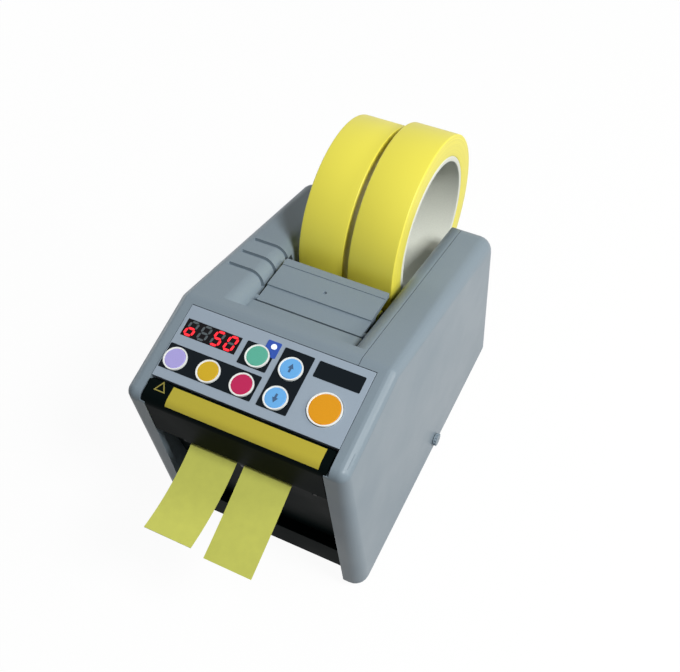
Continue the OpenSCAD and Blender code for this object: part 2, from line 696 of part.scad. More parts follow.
module crank_disc() color("#c8ccd0") at_deck() translate([0, 0, crank_n]) rotate([-90, 0, 0]) {
    translate([0, 0, crank_t[0]]) cylinder(r = crank_disc_r, h = crank_t[1] - crank_t[0]);
    translate([0, -crank_r, yoke_t[0]]) cylinder(r = crank_pin_r, h = crank_t[0] - yoke_t[0] + eps);
    translate([0, 0, crank_t[1] - eps]) cylinder(r = 1.5, h = motor_plate_t[1] - crank_t[1] + 5);
}

module cutter_motor() color("#5d636a") at_deck() translate([0, 0, crank_n]) rotate([-90, 0, 0]) difference() {
    union() {
        translate([0, 0, motor_plate_t[1]]) cylinder(r = cutter_motor_r, h = cutter_motor_len / 2);
        translate([0, 0, motor_plate_t[1] + cutter_motor_len / 2 - eps])
            cylinder(r = cutter_motor_r - 1.5, h = cutter_motor_len / 2);
    }
    translate([0, 0, motor_plate_t[1] - 1]) cylinder(r = 1.5 + run, h = 7);
}

module cutter_motor_plate() color("#aab0b7") at_deck() difference() {
    block([-plate_x, motor_plate_t[0], crank_n - 14], [plate_x, motor_plate_t[1], crank_n + 14]);
    translate([0, 0, crank_n]) rotate([-90, 0, 0]) cylinder(r = 4, h = far);
}

module feed_shaft() color("#cdd1d6") at_deck() translate([0, feed_t, feed_n])
    rod(shaft_r, -plate_out - 1.5, gear_x + gear_w + 1);

module feed_roller_sleeve() color("#3c4046") at_deck() translate([0, feed_t, feed_n])
    ring(feed_r, shaft_r + run, -roller_x, roller_x);

module feed_bushes() color("#c9a45c") at_deck() translate([0, feed_t, feed_n]) both() {
    ring(shaft_r + 3 - run, shaft_r + run, plate_x - 0.5, plate_out + 0.5);
    ring(shaft_r + 4.5, shaft_r + run, plate_out, plate_out + 1);
}

module pinch_roller() color("#3a3d42") at_deck() translate([0, feed_t, pinch_n]) {
    rod(pinch_r, -roller_x, roller_x);
    rod(pinch_journal_r, -plate_out + 0.1, plate_out - 0.1);
}

module entry_roller() color("#3a3d42") at_deck() translate([0, entry_t, entry_n]) {
    rod(entry_r, -roller_x, roller_x);
    rod(pinch_journal_r, -plate_out + 0.1, plate_out - 0.1);
}

// Involute gear in the side view, with its first tooth along the first axis
pressure_a = 20;
backlash = 0.3;
function involute(rb, a) = rb * [cos(a) + a * PI / 180 * sin(a), sin(a) - a * PI / 180 * cos(a)];
function spin(p, a) = [p.x * cos(a) - p.y * sin(a), p.x * sin(a) + p.y * cos(a)];
function gear_points(teeth) = let (
    pitch = gear_m * teeth / 2,
    rb = pitch * cos(pressure_a),
    tip = sqrt(pow((pitch + 0.95 * gear_m) / rb, 2) - 1) * 180 / PI,
    inv = tan(pressure_a) * 180 / PI - pressure_a,
    half = 90 / teeth + inv - backlash / 4 / pitch * 180 / PI,
    root = min(pitch - 1.25 * gear_m, rb),
    steps = 5,
    flank = [for (i = [0:steps]) spin(involute(rb, tip * i / steps), -half)])
    [for (k = [0:teeth - 1]) each [
        for (p = concat([spin([root, 0], -half)], flank,
                        [for (i = [steps:-1:0]) [flank[i].x, -flank[i].y]], [spin([root, 0], half)]))
            spin(p, k * 360 / teeth)]];

module feed_gear() color("#e8e4d8") at_deck() translate([0, feed_t, feed_n]) difference() {
    across(gear_x, gear_x + gear_w) rotate(mesh_a) polygon(gear_points(gear_teeth));
    rod(shaft_r + run, gear_x - 1, gear_x + gear_w + 1);
}

module motor_pinion() color("#c9a45c") at_deck() translate([0, pinion_at.x, pinion_at.y]) {
    across(gear_x, gear_x + gear_w) rotate(mesh_a + 180 + 180 / pinion_teeth) polygon(gear_points(pinion_teeth));
    rod(1.5, plate_x - 5, gear_x + eps);
}

module feed_motor() color("#5d636a") at_deck() translate([0, pinion_at.x, pinion_at.y]) difference() {
    rod(feed_motor_r, plate_x - feed_motor_len, plate_x);
    rod(1.5 + run, plate_x - 6, plate_x + 1);
}

// Tape rolls and what carries them

function roll_z(r) = support_z + sqrt(pow(r + support_r + slip, 2) - pow(support_half, 2));
module left_at() { translate([0, roll_y, roll_z(left_roll_r)]) children(); }
module right_at() { translate([0, roll_y, roll_z(right_roll_r)]) children(); }
module left_tape_roll() color("#e3d84a") left_at() ring(left_roll_r, core_r + run, -strip_x, -tape_gap / 2);
module left_tape_core() color("#efece4") left_at() ring(core_r, core_r - core_wall, -strip_x, -tape_gap / 2);
module right_tape_roll() color("#e3d84a") right_at() ring(right_roll_r, core_r + run, tape_gap / 2, strip_x);
module right_tape_core() color("#efece4") right_at() ring(core_r, core_r - core_wall, tape_gap / 2, strip_x);

module support_roller() {
    rod(support_r, -well_x + 2, well_x - 2);
    rod(journal_r, -inner_x + 0.3, inner_x - 0.3);
    rod(collar_r, -tape_gap / 2 + 0.9, tape_gap / 2 - 0.9);
    both() rod(collar_r, strip_x + 1, well_x - 2);
}
module front_support_roller() color("#3a3d42") translate([0, roll_y - support_half, support_z]) support_roller();
module rear_support_roller() color("#3a3d42") translate([0, roll_y + support_half, support_z]) support_roller();

// Web from the roll's lower front, up over the entry roller and down the deck to the blade
module tape_web(roll_r, x0) {
    c = [roll_y, roll_z(roll_r)];
    e = deck_pt(entry_t, entry_n);
    re = entry_r + nip;
    rr = roll_r + slip;
    gap = c - e;
    // Both circles lie on the same side of the run, so their radii there are parallel
    side_a = atan2(gap.y, gap.x) + acos((re + rr + tape_t) / norm(gap));
    out = [cos(side_a), sin(side_a)];
    inner = [for (r = [re, re + tape_t]) concat(
        [c - (rr + tape_t - (r - re)) * out],
        arc(e, r, side_a, 90 + deck_a),
        [deck_pt(yoke_t[0] + 0.2, r - re)])];
    across(x0, x0 + tape_w) polygon(concat(inner[0], [for (i = [len(inner[1]) - 1:-1:0]) inner[1][i]]));
}
module left_tape_web() color("#c9c344") tape_web(left_roll_r, -strip_x);
module right_tape_web() color("#c9c344") tape_web(right_roll_r, tape_gap / 2);

// Strip that stands out of the outlet and bends down under its own weight
module strip(droop, x0) {
    line = function (n) [for (i = [0:arc_steps]) let (f = i / arc_steps)
        deck_pt(-f * strip_len, n - droop * f * f)];
    under = concat([deck_pt(lip_t[1], 0)], line(0));
    over = concat([deck_pt(lip_t[1], tape_t)], line(tape_t));
    across(x0, x0 + tape_w) polygon(concat(under, [for (i = [len(over) - 1:-1:0]) over[i]]));
}
module left_strip() color("#c9c344") strip(left_droop, -strip_x);
module right_strip() color("#c9c344") strip(right_droop, tape_gap / 2);

// Rear fittings and thumbscrew

rocker_r = switch_h / 2 - 2;
module at_rocker() { translate([switch_x, rear_in + rear_t + 1.2, switch_z]) children(); }
module power_switch_frame() color("#17181a") difference() {
    union() {
        block([switch_x - switch_w / 2 + sheet, rear_in - 10, switch_z - switch_h / 2 + sheet],
              [switch_x + switch_w / 2 - sheet, rear_in + rear_t + eps, switch_z + switch_h / 2 - sheet]);
        block([switch_x - switch_w / 2 - 1, rear_in + rear_t, switch_z - switch_h / 2 - 1],
              [switch_x + switch_w / 2 + 1, rear_in + rear_t + 1.2, switch_z + switch_h / 2 + 1]);
    }
    block([switch_x - switch_w / 2 + 1.5, rear_in - 6, switch_z - rocker_r - 1],
          [switch_x + switch_w / 2 - 1.5, far, switch_z + rocker_r + 1]);
    at_rocker() rod(1 + run, -switch_w / 2 + 0.5, switch_w / 2 - 0.5);
}
module power_rocker() color("#2a2d31") at_rocker() {
    difference() {
        intersection() {
            block([-switch_w / 2 + 1.5 + slip, -4, -rocker_r], [switch_w / 2 - 1.5 - slip, 2.4, rocker_r]);
            rod(rocker_r + 0.3, -far, far);
        }
        translate([0, 4 + 2 * rocker_r, 0]) rod(2 * rocker_r + 2, -far, far);
    }
    rod(1, -switch_w / 2 + 0.8, switch_w / 2 - 0.8);
}

module power_jack() color("#17181a") translate([jack_x, rear_in, switch_z]) rotate([-90, 0, 0]) {
    difference() {
        union() {
            translate([0, 0, -9]) cylinder(r = jack_r + 1.8 - run, h = 9 + rear_t + 1.4);
            translate([0, 0, rear_t]) cylinder(r = jack_r + 3.2, h = 1.4);
        }
        translate([0, 0, -7]) cylinder(r = jack_r, h = far);
    }
    translate([0, 0, -8]) cylinder(r = 1.05, h = 8 + rear_t - 1);
}

module cover_thumbscrew() color("#8b98a8") translate([0, thumb_y, thumb_z]) difference() {
    union() {
        rod(thumb_r, half_w + slip, half_w + slip + thumb_len);
        rod(2, lug_x - 3, half_w + slip + eps);
    }
    for (a = [0:30:330]) rotate([a, 0, 0]) translate([0, 0, thumb_r + 0.25]) rod(0.7, half_w + 0.8, far);
}

main_housing();
right_side_cover();
base_plate();
rubber_feet();
lower_front_cover();
rear_panel();
left_frame_plate();
right_frame_plate();
chassis_screws();
control_panel();
control_board();
tact_switches();
board_screws();
display_window();
display_module();
status_lens();
key_start();
key_up();
key_down();
key_lilac();
key_yellow();
key_crimson();
key_green();
safety_cover();
cover_switch();
guide_flap();
hold_down_roller();
feed_deck();
outlet_lip();
tape_sensor();
fixed_blade();
cutter_yoke();
moving_blade();
blade_screws();
crank_disc();
cutter_motor();
cutter_motor_plate();
feed_shaft();
feed_roller_sleeve();
feed_gear();
feed_bushes();
pinch_roller();
feed_motor();
motor_pinion();
entry_roller();
front_support_roller();
rear_support_roller();
left_tape_roll();
left_tape_core();
right_tape_roll();
right_tape_core();
left_tape_web();
right_tape_web();
left_strip();
right_strip();
power_switch_frame();
power_rocker();
power_jack();
cover_thumbscrew();
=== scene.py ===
"""Looks of the electric tape dispenser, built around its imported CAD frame.

Laid out as an add-on: sizes and colours are properties, each group of pieces is an operator,
and main() calls the operators in order.
"""

import math

import bmesh
import bpy
from bpy.props import FloatProperty, FloatVectorProperty, PointerProperty
from mathutils import Matrix, Vector


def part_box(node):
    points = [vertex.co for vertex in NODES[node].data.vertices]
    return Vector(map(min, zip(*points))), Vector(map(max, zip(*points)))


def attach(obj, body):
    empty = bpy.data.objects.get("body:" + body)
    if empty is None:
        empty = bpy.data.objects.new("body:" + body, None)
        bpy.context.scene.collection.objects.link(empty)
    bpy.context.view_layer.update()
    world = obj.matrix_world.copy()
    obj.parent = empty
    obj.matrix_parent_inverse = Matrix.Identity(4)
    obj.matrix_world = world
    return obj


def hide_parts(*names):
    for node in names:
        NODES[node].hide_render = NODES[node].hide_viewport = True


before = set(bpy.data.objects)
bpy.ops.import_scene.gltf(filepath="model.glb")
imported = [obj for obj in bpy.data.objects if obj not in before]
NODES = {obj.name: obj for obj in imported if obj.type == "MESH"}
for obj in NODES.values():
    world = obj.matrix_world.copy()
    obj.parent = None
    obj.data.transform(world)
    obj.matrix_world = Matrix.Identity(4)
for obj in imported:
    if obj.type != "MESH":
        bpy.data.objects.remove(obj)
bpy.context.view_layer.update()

bl_info = {
    "name": "Tape dispenser looks",
    "version": (1, 0, 0),
    "blender": (4, 5, 0),
    "location": "View3D > Sidebar > Dispenser",
    "description": "Finishes, prints and tape of an electric tape dispenser",
    "category": "Object",
}

MM = 0.001

# Camera fitted to the photograph: angles in degrees, lengths in mm, image and focal length in pixels
CAMERA_TURN = 30.676
CAMERA_RISE = 53.363
CAMERA_ROLL = -5.481
CAMERA_TARGET = Vector((14.27, -7.72, 115.6))
CAMERA_DISTANCE = 501.1
CAMERA_NEAR = 10
SENSOR_W = 36
IMAGE_W = 680
FOCAL_LENGTH = 1007.1

# Floor: width in m, colour, and share and strength of the white that is seen in its place
FLOOR_W = 6
FLOOR_GREY = "6c6c6b"
WHITE_SHARE = 0.72
WHITE_STRENGTH = 1.32
# Sky: strength where it lights the object and where it is seen, and colour
SKY_LIGHT = 0.05
SKY_SEEN = 1.0
SKY_COLOUR = (0.97, 0.985, 1.0, 1)
# Lamps: place and width in m, power in W, colour
LAMPS = {
    "key softbox": ((0.87, -0.17, 1.22), 0.36, 19.6, (0.96, 0.985, 0.985)),
    "side softbox": ((1.05, 0.3, 0.6), 0.28, 4.4, (1.0, 0.975, 0.92)),
    "fill softbox": ((-1.1, 0.5, 0.2), 0.6, 5.0, (1.0, 1.0, 1.0)),
}
LAMP_TARGET = Vector((0, 0, 0.08))

# Slopes of the panel and of the feed deck, and lean of the front, in degrees
PANEL_SLOPE = 9.8
DECK_SLOPE = 8.0
FRONT_LEAN = 2.4
# Nose of the panel and mouth of the feed deck, in mm
NOSE = Vector((0, -88.4, 133.5))
OUTLET = Vector((0, -85.4, 103.5))
# Frames of the panel and of the feed deck: x to the right, y up the slope, z out of the face
PANEL = Matrix.Translation(NOSE * MM) @ Matrix.Rotation(math.radians(PANEL_SLOPE), 4, "X")
DECK = Matrix.Translation(OUTLET * MM) @ Matrix.Rotation(math.radians(DECK_SLOPE), 4, "X")

# Keys on the panel: x and distance from the nose in mm, radius in mm, colour
KEYS = {
    "key_lilac": (-42.1, 23.8, 5.9, "b3a9e6"),
    "key_yellow": (-24.2, 23.8, 5.9, "d6b02a"),
    "key_crimson": (-6.3, 23.8, 5.9, "c2285a"),
    "key_green": (-6.3, 39.4, 5.9, "5fb39c"),
    "key_down": (11.4, 23.8, 5.9, "6fb3ee"),
    "key_up": (11.4, 39.4, 5.9, "6fb3ee"),
    "key_start": (34.8, 27.2, 8.3, "e39a1c"),
}
# Top of the keys, and lower and upper face of the signs on them, in mm above the panel
KEY_TOP = 0.8
KEY_SIGN = (0.79, 0.86)
# Prints on the panel, by their near left and far right corners in mm
PRINTS = {
    "three_key_field": ((-48.3, 17.6), (0.9, 30.9)),
    "two_key_field": ((4.1, 17.5), (19.6, 48.7)),
    "green_key_field": ((-14.2, 33.1), (0.9, 45.4)),
    "status_field": ((-5.1, 41.1), (2.0, 49.4)),
    "badge": ((22.2, 40.0), (45.8, 48.5)),
}
# Middle of the status light, in mm
STATUS_AT = Vector((-1.1, 46.7))
# Label on the safety cover: left and right end in mm, bend over the nose in degrees, steps of each stretch
LABEL_ENDS = (-35.4, 44.0)
LABEL_BEND = 42
LABEL_STEPS = 6
# Middle of the triangle beside the label, in mm
SIGN_AT = Vector((-41.0, 8.0))

# Display: middle in mm, lean of the digits in degrees, lower and upper face of the bars in mm from the panel
DISPLAY_AT = Vector((-32.0, 40.7))
DIGIT_LEAN = 8
BAR_LEVELS = (-0.1, 0.02)
# Share of a bar's width that each end stands back, and share of half its width that the ends are pointed
BAR_INSET = 0.3
BAR_POINT = 0.92
# Bars of a digit: middle in half widths and quarter heights, and whether the bar lies flat
BARS = {
    "a": (0, 2, True),
    "b": (1, 1, False),
    "c": (1, -1, False),
    "d": (0, -2, True),
    "e": (-1, -1, False),
    "f": (-1, 1, False),
    "g": (0, 0, True),
}
# Bars that are lit, digit by digit
LIT_BARS = ("cdeg", "", "acdfg", "abcdef")

# Strips: stretch behind the outlet, reach past it and lift above the deck in mm, and steps of both stretches
STRIP_ROOT = 10.5
STRIP_REACH = 46
STRIP_LIFT = 0.2
ROOT_STEPS = 7
REACH_STEPS = 36
# Droop of each strip's end, and how far its middle sags below the straight line, in mm
STRIP_CURL = {"left": (0.5, 3.3), "right": (10.5, 0.6)}

# Patterns of the finishes, in mm
GRAIN_DEPTH = 0.1
FLOW_MARK = 40
FILM_GRAIN = 0.4
FILM_RELIEF = 0.05
LAYER_BAND = 0.7
TENSION_LINE = 6
TAPE_RELIEF = 0.3
ADHESIVE_MOTTLE = 5
ADHESIVE_RELIEF = 0.2
BOARD_RUN = 6
LENS_GRAIN = 0.6
# Refractive indices
ABS_IOR = 1.54
FILM_IOR = 1.58
BACKING_IOR = 1.5
ADHESIVE_IOR = 1.48

# Angle in degrees up to which the new pieces shade smooth
SMOOTH_ANGLE = 35
# Angle in degrees up to which neighbouring CAD faces count as one flat face
FLAT_ANGLE = 0.4
# Angle in degrees from which a CAD edge counts as sharp and is rounded
SHARP_ANGLE = 40
# Distance up to which a CAD node's corners are one, in mm
WELD_GAP = 0.005
# How strongly large faces keep their own normals beside rounded edges
FACE_WEIGHT = 90
# Reach of a hole's cutter to both sides of a print, in m
CUT_REACH = MM


def linear(code):
    """Turns an sRGB hex value into a linear colour with alpha."""
    channels = [int(code[i:i + 2], 16) / 255 for i in (0, 2, 4)]
    return tuple(c / 12.92 if c <= 0.04045 else ((c + 0.055) / 1.055) ** 2.4 for c in channels) + (1.0,)


def colour(label, words, code):
    """Colour property with its default as an sRGB hex value."""
    return FloatVectorProperty(name=label, description=words, subtype="COLOR", size=4, min=0, max=1,
                               default=linear(code))


def length(label, words, default_mm):
    """Length property with its default in mm."""
    return FloatProperty(name=label, description=words, unit="LENGTH", default=default_mm * MM)


class DispenserSizes(bpy.types.PropertyGroup):
    """Sizes of the pieces that are modelled here."""
    film: length("Film height", "Height of the printed films above the panel", 0.12)
    film_gap: length("Film gap", "Gap under a printed film, so that two faces don't coincide", 0.01)
    film_corner: length("Film corner", "Corner radius of the printed films", 0.6)
    status_film: length("Status film height", "Height of the print that lies over its neighbours", 0.192)
    status_hole: length("Status hole", "Radius of the print's hole for the status light", 1.6)
    key_ring: length("Key ring", "Width of the white ring on a key", 0.8)
    key_gap: length("Key gap", "Clearance of the films round a key", 0.3)
    arrow_head: length("Arrow head", "Radius of the arrow's head", 1.7)
    arrow_shift: length("Arrow shift", "Distance of head and stem from the key's middle", 0.9)
    stem_w: length("Stem width", "Width of the arrow's stem", 1.1)
    stem_l: length("Stem length", "Length of the arrow's stem", 2.2)
    stem_corner: length("Stem corner", "Corner radius of the arrow's stem", 0.15)
    label_end: length("Label end", "Distance of the label's rear edge from the nose", 10.8)
    label_rise: length("Label rise", "Height of the label's middle above the safety cover", 0.12)
    label_film: length("Label thickness", "Thickness of the label", 0.16)
    nose_r: length("Nose rounding", "Radius of the safety cover's nose", 5.5)
    sign_outer: length("Sign size", "Radius of the triangle's outer corners", 3.6)
    sign_inner: length("Sign opening", "Radius of the triangle's inner corners", 2.5)
    sign_film: length("Sign height", "Height of the triangle above the safety cover", 0.1)
    segment: length("Segment width", "Width of one display segment", 1.1)
    digit_w: length("Digit width", "Width of one display digit", 4.0)
    digit_h: length("Digit height", "Height of one display digit", 7.2)
    digit_pitch: length("Digit pitch", "Distance from one digit to the next", 7.2)
    tape_ease: length("Tape edge", "Rounding of the wound tape's edges", 0.7)
    core_ease: length("Core edge", "Rounding of the core's rims", 0.5)
    core_wall: length("Core wall", "Wall of the tape core", 2.8)
    core_inset: length("Core inset", "How far the core's left rim stands back in its roll", 0.1)
    strip: length("Strip thickness", "Thickness of a tape strip", 0.3)
    edge: length("Eased edge", "Rounding of the grey mouldings' edges", 0.45)
    cover_edge: length("Cover edge", "Rounding of the black covers' edges", 0.3)
    panel_edge: length("Panel edge", "Rounding of the panel's edges", 0.2)


class DispenserColours(bpy.types.PropertyGroup):
    """Colours of the finishes, written as they look in plain light."""
    body: colour("Body", "Cool grey ABS of the housing", "818e98")
    panel: colour("Panel", "Grey of the panel overlay", "95a2b0")
    field: colour("Field", "Dark navy of the printed fields", "0a1218")
    blue: colour("Blue square", "Print round the status light", "1c49a8")
    black: colour("Black", "Black ABS of the covers", "040a0a")
    label: colour("Label", "Yellow of the bare label", "b3a42a")
    backing: colour("Backing", "Yellow film of the wound tape", "efe354")
    adhesive: colour("Adhesive", "Adhesive side of the strips", "c8c95e")
    core: colour("Core", "White of the tape cores", "dcddd2")
    lit: colour("Lit segment", "Red of the lit segments", "ff2430")
    unlit: colour("Unlit segment", "Grey of the unlit segments", "4a5256")


def sizes():
    """Sizes as they are set in the scene."""
    return bpy.context.scene.dispenser_sizes


def colours():
    """Colours as they are set in the scene."""
    return bpy.context.scene.dispenser_colours


# Nodes and finishes

def add(tree, kind, inputs=None, **settings):
    """Adds a node, gives it its settings, and fills its inputs with values or with other nodes' outputs."""
    made = tree.nodes.new(kind)
    for key, value in settings.items():
        setattr(made, key, value)
    for key, value in (inputs or {}).items():
        if isinstance(value, bpy.types.NodeSocket):
            tree.links.new(value, made.inputs[key])
        else:
            made.inputs[key].default_value = value
    return made


def new_finish(name):
    """Empty material with its tree, its surface shader and its coordinates."""
    made = bpy.data.materials.new(name)
    made.use_nodes = True
    tree = made.node_tree
    shader = tree.nodes["Principled BSDF"]
    place = add(tree, "ShaderNodeTexCoord").outputs["Object"]
    return made, tree, shader, place


def tint(tree, base, pattern, low, high):
    """Base colour made darker and lighter by a pattern."""
    dark = tuple(c * low for c in base[:3]) + (1.0,)
    light = tuple(min(1.0, c * high) for c in base[:3]) + (1.0,)
    return add(tree, "ShaderNodeMix", {"Factor": pattern, 6: dark, 7: light}, data_type="RGBA").outputs[2]


def uneven_gloss(tree, pattern, roughness, swing):
    """Roughness raised and lowered by a pattern."""
    ends = {"From Min": 0.3, "From Max": 0.7, "To Min": roughness - swing, "To Max": roughness + swing}
    return add(tree, "ShaderNodeMapRange", {"Value": pattern, **ends}).outputs["Result"]


def satin_film(tree, place):
    """Fine texture of printed film: its pattern, and the normal that it gives."""
    # The real texture is finer than the render can show, so it is drawn coarser
    fine = add(tree, "ShaderNodeTexNoise", {"Vector": place, "Scale": 1 / (FILM_GRAIN * MM), "Detail": 1.0})
    pattern = fine.outputs["Fac"]
    bump = add(tree, "ShaderNodeBump", {"Height": pattern, "Strength": 0.06, "Distance": FILM_RELIEF * MM})
    return pattern, bump.outputs["Normal"]


def moulded_abs(name, base, roughness=0.5, grain_mm=0.5, grain=0.12, gloss=0.5):
    """ABS from a spark-eroded mould: a fine even grain that breaks up the highlights."""
    made, tree, shader, place = new_finish(name)
    # The real grain is about 0.1 mm and is drawn coarser, so that it shows in the render
    fine = add(tree, "ShaderNodeTexNoise", {"Vector": place, "Scale": 1 / (grain_mm * MM), "Detail": 2.0})
    # Flow marks and handling make the gloss uneven
    broad = add(tree, "ShaderNodeTexNoise", {"Vector": place, "Scale": 1 / (FLOW_MARK * MM), "Detail": 3.0})
    rough = uneven_gloss(tree, broad.outputs["Fac"], roughness, swing=0.06)
    speck = tint(tree, base, fine.outputs["Fac"], low=0.93, high=1.07)
    bump = add(tree, "ShaderNodeBump", {"Height": fine.outputs["Fac"], "Strength": grain,
                                        "Distance": GRAIN_DEPTH * MM})
    tree.links.new(speck, shader.inputs["Base Color"])
    tree.links.new(rough, shader.inputs["Roughness"])
    tree.links.new(bump.outputs["Normal"], shader.inputs["Normal"])
    shader.inputs["IOR"].default_value = ABS_IOR
    shader.inputs["Specular IOR Level"].default_value = gloss
    return made


def printed_film(name, base, roughness=0.38, gloss=0.5):
    """Screen-printed polycarbonate film: an even ink under a very fine satin texture."""
    made, tree, shader, place = new_finish(name)
    pattern, normal = satin_film(tree, place)
    ink = tint(tree, base, pattern, low=0.94, high=1.06)
    tree.links.new(ink, shader.inputs["Base Color"])
    tree.links.new(normal, shader.inputs["Normal"])
    shader.inputs["Roughness"].default_value = roughness
    shader.inputs["IOR"].default_value = FILM_IOR
    shader.inputs["Specular IOR Level"].default_value = gloss
    return made


def key_cap(name, base, centre, ring_from):
    """Printed key cap: a coloured disc inside a white ring, under clear film."""
    made, tree, shader, place = new_finish(name)
    local = add(tree, "ShaderNodeMapping", {"Vector": place, "Location": -centre}).outputs["Vector"]
    radius = add(tree, "ShaderNodeVectorMath", {0: local}, operation="LENGTH").outputs["Value"]
    rim = add(tree, "ShaderNodeMath", {0: radius, 1: ring_from}, operation="GREATER_THAN").outputs["Value"]
    pattern, normal = satin_film(tree, place)
    ink = tint(tree, base, pattern, low=0.93, high=1.07)
    both = add(tree, "ShaderNodeMix", {"Factor": rim, 6: ink, 7: linear("f2f3f0")}, data_type="RGBA")
    tree.links.new(both.outputs[2], shader.inputs["Base Color"])
    tree.links.new(normal, shader.inputs["Normal"])
    shader.inputs["Roughness"].default_value = 0.36
    shader.inputs["IOR"].default_value = FILM_IOR
    shader.inputs["Specular IOR Level"].default_value = 0.2
    return made


def wound_tape(name, base, centre):
    """Roll of film tape: satin backing outside, and the layers' edges as fine rings on its sides."""
    made, tree, shader, place = new_finish(name)
    local = add(tree, "ShaderNodeMapping", {"Vector": place, "Location": -centre}).outputs["Vector"]
    flat = add(tree, "ShaderNodeVectorMath", {0: local, 1: (0, 1, 1)}, operation="MULTIPLY").outputs["Vector"]
    radius = add(tree, "ShaderNodeVectorMath", {0: flat}, operation="LENGTH").outputs["Value"]
    # Layers are about 0.1 mm thick and are drawn as wider bands, so that they show
    layers = add(tree, "ShaderNodeTexNoise", {"W": radius, "Scale": 1 / (LAYER_BAND * MM), "Detail": 2.0},
                 noise_dimensions="1D")
    # Tension lines in the backing run along the tape's width
    drawn = add(tree, "ShaderNodeMapping", {"Vector": local, "Scale": (0.06, 1, 1)}).outputs["Vector"]
    lines = add(tree, "ShaderNodeTexNoise", {"Vector": drawn, "Scale": 1 / (TENSION_LINE * MM),
                                             "Detail": 3.0})
    ink = tint(tree, base, layers.outputs["Fac"], low=0.86, high=1.12)
    both = add(tree, "ShaderNodeMath", {0: layers.outputs["Fac"], 1: lines.outputs["Fac"]}, operation="ADD")
    bump = add(tree, "ShaderNodeBump", {"Height": both.outputs["Value"], "Strength": 0.18,
                                        "Distance": TAPE_RELIEF * MM})
    tree.links.new(ink, shader.inputs["Base Color"])
    tree.links.new(bump.outputs["Normal"], shader.inputs["Normal"])
    shader.inputs["Roughness"].default_value = 0.42
    shader.inputs["IOR"].default_value = BACKING_IOR
    return made


def tape_film(name, base):
    """Adhesive side of film tape: a soft gloss over a faintly mottled coat."""
    made, tree, shader, place = new_finish(name)
    mottle = add(tree, "ShaderNodeTexNoise", {"Vector": place, "Scale": 1 / (ADHESIVE_MOTTLE * MM),
                                              "Detail": 4.0})
    coat = tint(tree, base, mottle.outputs["Fac"], low=0.92, high=1.08)
    bump = add(tree, "ShaderNodeBump", {"Height": mottle.outputs["Fac"], "Strength": 0.1,
                                        "Distance": ADHESIVE_RELIEF * MM})
    tree.links.new(coat, shader.inputs["Base Color"])
    tree.links.new(bump.outputs["Normal"], shader.inputs["Normal"])
    shader.inputs["Roughness"].default_value = 0.45
    shader.inputs["IOR"].default_value = ADHESIVE_IOR
    return made


def metal(name, base, roughness=0.35, streak=(1, 1, 1), mark_mm=3.0):
    """Bare metal: zinc spangle or grinding marks, by how the pattern is stretched."""
    made, tree, shader, place = new_finish(name)
    drawn = add(tree, "ShaderNodeMapping", {"Vector": place, "Scale": streak}).outputs["Vector"]
    marks = add(tree, "ShaderNodeTexNoise", {"Vector": drawn, "Scale": 1 / (mark_mm * MM), "Detail": 3.0})
    ink = tint(tree, base, marks.outputs["Fac"], low=0.85, high=1.12)
    rough = uneven_gloss(tree, marks.outputs["Fac"], roughness, swing=0.08)
    tree.links.new(ink, shader.inputs["Base Color"])
    tree.links.new(rough, shader.inputs["Roughness"])
    shader.inputs["Metallic"].default_value = 1.0
    return made


def circuit_board(name):
    """Glass-fibre board under green lacquer, with the copper runs showing through."""
    made, tree, shader, place = new_finish(name)
    inks = {"Color1": linear("2f6b3a"), "Color2": linear("357542"), "Mortar": linear("4f8f4d")}
    runs = add(tree, "ShaderNodeTexBrick", {"Vector": place, **inks, "Scale": 1 / (BOARD_RUN * MM),
                                            "Mortar Size": 0.08})
    tree.links.new(runs.outputs["Color"], shader.inputs["Base Color"])
    shader.inputs["Roughness"].default_value = 0.3
    return made


def light_segment(name, base, strength):
    """Display segment behind a clear window: it glows, or is a pale bar when it is off."""
    made, tree, shader, place = new_finish(name)
    fine = add(tree, "ShaderNodeTexNoise", {"Vector": place, "Scale": 1 / (LENS_GRAIN * MM), "Detail": 1.0})
    ink = tint(tree, base, fine.outputs["Fac"], low=0.9, high=1.1)
    tree.links.new(ink, shader.inputs["Base Color"])
    shader.inputs["Roughness"].default_value = 0.4
    shader.inputs["Emission Color"].default_value = base
    shader.inputs["Emission Strength"].default_value = strength
    return made


# Modelling

def begin():
    """Leaves edit mode and deselects everything, so that an operator acts on the new piece alone."""
    if bpy.context.object and bpy.context.object.mode != "OBJECT":
        bpy.ops.object.mode_set(mode="OBJECT")
    bpy.ops.object.select_all(action="DESELECT")


def take(piece):
    """Makes one piece the only selected and the active one."""
    begin()
    piece.select_set(True)
    bpy.context.view_layer.objects.active = piece


def set_down():
    """Moves the active piece's place, turn and size into its mesh."""
    bpy.ops.object.transform_apply(location=True, rotation=True, scale=True)


def pick(piece, kind, test):
    """Enters edit mode and selects the vertices, edges or faces that pass a test."""
    bpy.ops.object.mode_set(mode="EDIT")
    bpy.ops.mesh.select_mode(type=kind)
    bpy.ops.mesh.select_all(action="DESELECT")
    mesh = bmesh.from_edit_mesh(piece.data)
    mesh.normal_update()
    for item in {"VERT": mesh.verts, "EDGE": mesh.edges, "FACE": mesh.faces}[kind]:
        item.select_set(bool(test(item)))
    bmesh.update_edit_mesh(piece.data)


def settle(piece, name, body, finish, place=None):
    """Ends a piece: sets it in its place, names it, and gives it its finish and its body."""
    take(piece)
    if place is not None:
        piece.matrix_world = place @ piece.matrix_world
    set_down()
    bpy.ops.object.shade_smooth_by_angle(angle=math.radians(SMOOTH_ANGLE))
    piece.name = name
    piece.data.name = name
    piece.data.materials.clear()
    piece.data.materials.append(finish)
    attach(piece, body)
    return piece


